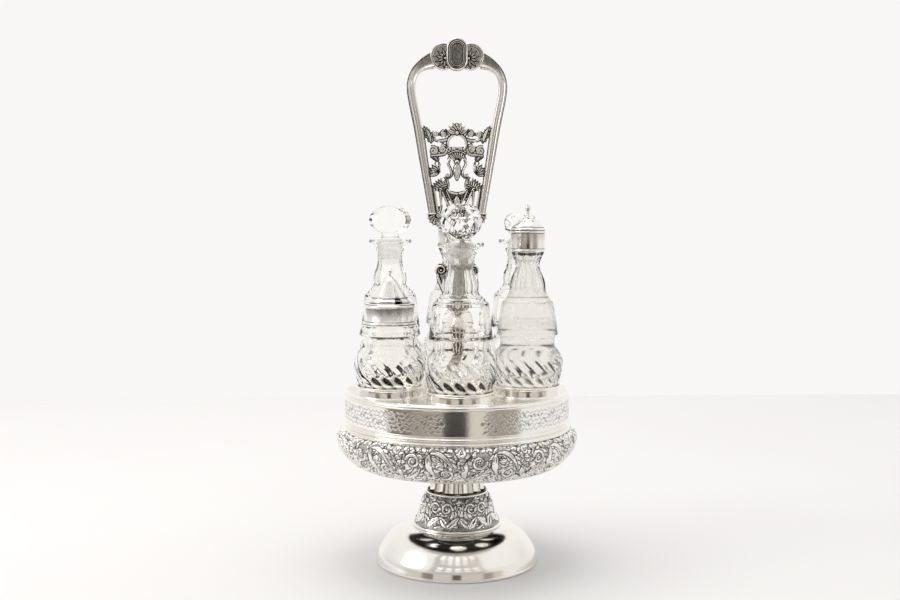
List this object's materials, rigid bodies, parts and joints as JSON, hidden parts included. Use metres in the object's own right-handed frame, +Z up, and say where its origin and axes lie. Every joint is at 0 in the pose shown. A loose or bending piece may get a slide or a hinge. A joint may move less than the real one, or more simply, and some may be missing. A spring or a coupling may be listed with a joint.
{
  "type": "cruet set",
  "caption": "Tall table cruet set: a silvered tray that turns on a domed foot, under an openwork bow handle, with lift-out cut-glass cruets, shakers and a lidded mustard pot.",
  "frame": {"origin": "middle of the foot's underside, on the table", "axes": "+Z up along the turning axis; the handle stands in the XZ plane and the front cruet is towards -Y"},
  "size_m": [0.187, 0.187, 0.4067],
  "materials": {
    "polished_silver": "bright polished silver plate, slightly warm, with fine hairline wear",
    "oxidised_silver": "stamped silver plate, bright on the relief and dark oxidised in the recesses",
    "bottle_silver": "polished silver plate",
    "brass_fittings": "turned brass, dulled",
    "bottle_glass": "clear cut and pressed glass, with a frosted ground neck",
    "stopper_glass": "clear facet-cut glass with a frosted ground shank"
  },
  "bodies": {
    "pedestal": {"foot": "polished_silver", "bearing_hub": "brass_fittings", "stem_collar": "oxidised_silver", "collar_bottom_ring": "polished_silver", "collar_top_ring": "polished_silver"},
    "carousel": {"neck": "polished_silver", "tie_rod": "brass_fittings", "base_washer": "brass_fittings", "base_nut": "brass_fittings", "gallery": "oxidised_silver", "drum_moulding": "polished_silver", "drum_band": "polished_silver", "drum_rim": "polished_silver", "bottle_floor": "polished_silver", "deck": "polished_silver", "centre_spacer": "brass_fittings", "ring_front": "polished_silver", "ring_right_front": "polished_silver", "ring_right_rear": "polished_silver", "ring_rear": "polished_silver", "ring_left_rear": "polished_silver", "ring_left_front": "polished_silver", "handle_post": "polished_silver", "handle_volutes": "polished_silver", "handle_yoke": "polished_silver", "handle_bar_left": "polished_silver", "handle_bar_right": "polished_silver", "handle_panel": "oxidised_silver", "cartouche": "oxidised_silver", "shell_left": "oxidised_silver", "shell_right": "oxidised_silver", "palmette_left": "oxidised_silver", "palmette_right": "oxidised_silver"},
    "front_cruet": {"cruet_front": "bottle_glass"},
    "left_cruet": {"cruet_left": "bottle_glass"},
    "right_cruet": {"cruet_right": "bottle_glass"},
    "front_stopper": {"stopper_front": "stopper_glass"},
    "left_stopper": {"stopper_left": "stopper_glass"},
    "right_stopper": {"stopper_right": "stopper_glass"},
    "front_shaker": {"shaker_front": "bottle_glass"},
    "rear_shaker": {"shaker_rear": "bottle_glass"},
    "front_cap": {"shaker_cap_front": "bottle_silver", "cap_finial_front": "bottle_silver"},
    "rear_cap": {"shaker_cap_rear": "bottle_silver", "cap_finial_rear": "bottle_silver"},
    "mustard_pot": {"mustard_jar": "bottle_glass", "mustard_collar": "bottle_silver", "lid_hinge_pin": "bottle_silver"},
    "pot_lid": {"mustard_lid": "bottle_silver", "lid_finial": "bottle_silver"}
  },
  "joints": [
    {"name": "carousel_turn", "type": "hinge", "parent": "pedestal", "child": "carousel", "pos_m": [0, 0, 0.05], "axis": [0, 0, 1], "continuous": true},
    {"name": "front_cruet_lift", "type": "slide", "parent": "carousel", "child": "front_cruet", "axis": [0, 0, 1], "range_m": [0, 0.07]},
    {"name": "left_cruet_lift", "type": "slide", "parent": "carousel", "child": "left_cruet", "axis": [0, 0, 1], "range_m": [0, 0.07]},
    {"name": "right_cruet_lift", "type": "slide", "parent": "carousel", "child": "right_cruet", "axis": [0, 0, 1], "range_m": [0, 0.07]},
    {"name": "front_shaker_lift", "type": "slide", "parent": "carousel", "child": "front_shaker", "axis": [0, 0, 1], "range_m": [0, 0.07]},
    {"name": "rear_shaker_lift", "type": "slide", "parent": "carousel", "child": "rear_shaker", "axis": [0, 0, 1], "range_m": [0, 0.07]},
    {"name": "mustard_pot_lift", "type": "slide", "parent": "carousel", "child": "mustard_pot", "axis": [0, 0, 1], "range_m": [0, 0.07]},
    {"name": "front_stopper_lift", "type": "slide", "parent": "front_cruet", "child": "front_stopper", "axis": [0, 0, 1], "range_m": [0, 0.03]},
    {"name": "left_stopper_lift", "type": "slide", "parent": "left_cruet", "child": "left_stopper", "axis": [0, 0, 1], "range_m": [0, 0.03]},
    {"name": "right_stopper_lift", "type": "slide", "parent": "right_cruet", "child": "right_stopper", "axis": [0, 0, 1], "range_m": [0, 0.03]},
    {"name": "front_cap_lift", "type": "slide", "parent": "front_shaker", "child": "front_cap", "axis": [0, 0, 1], "range_m": [0, 0.025]},
    {"name": "rear_cap_lift", "type": "slide", "parent": "rear_shaker", "child": "rear_cap", "axis": [0, 0, 1], "range_m": [0, 0.025]},
    {"name": "pot_lid_hinge", "type": "hinge", "parent": "mustard_pot", "child": "pot_lid", "pos_m": [-0.06029, -0.01292, 0.2082], "axis": [-0.8988, -0.4384, 0], "range_deg": [0, 95]}
  ]
}
